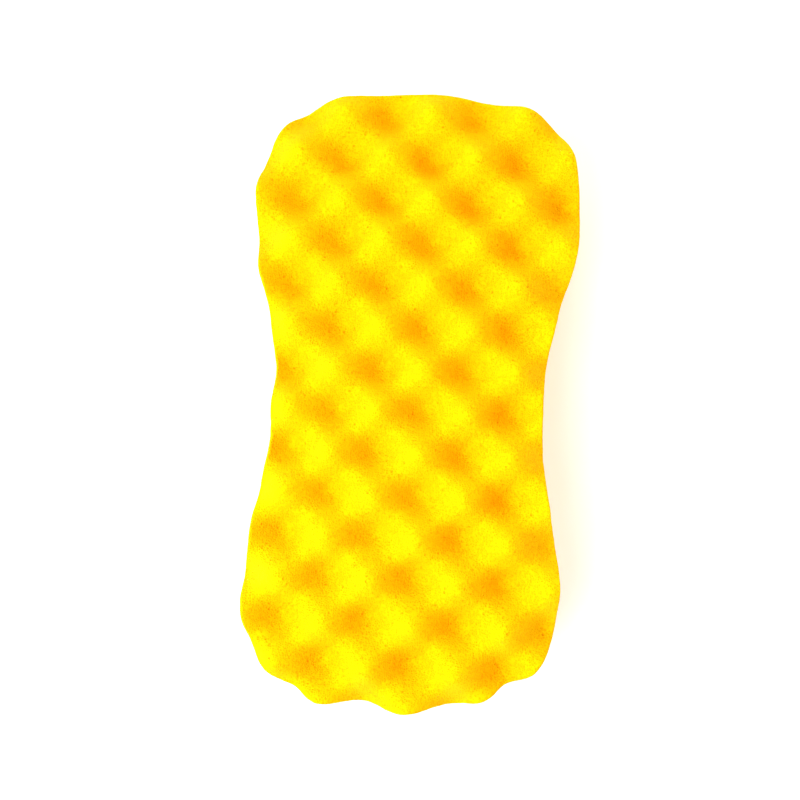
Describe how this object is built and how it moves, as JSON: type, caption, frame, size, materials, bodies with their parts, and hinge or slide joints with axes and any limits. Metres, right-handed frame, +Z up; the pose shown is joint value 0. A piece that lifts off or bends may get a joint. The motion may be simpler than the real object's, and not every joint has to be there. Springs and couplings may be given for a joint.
{
  "type": "cleaning sponge",
  "caption": "Block of egg-crate foam with a figure-of-eight outline, bumpy on the face and flat on the back, for washing and wiping by hand.",
  "frame": {"origin": "on the flat back, below the middle of the block", "axes": "+X across the sponge, +Y along it towards the wider lobe, +Z up out of the bumpy face"},
  "size_m": [0.1114, 0.21, 0.05],
  "materials": {
    "foam": "matt open-cell polyurethane foam, fine pores, bright yellow throughout"
  },
  "bodies": {
    "root": {"sponge": "foam"}
  },
  "joints": []
}
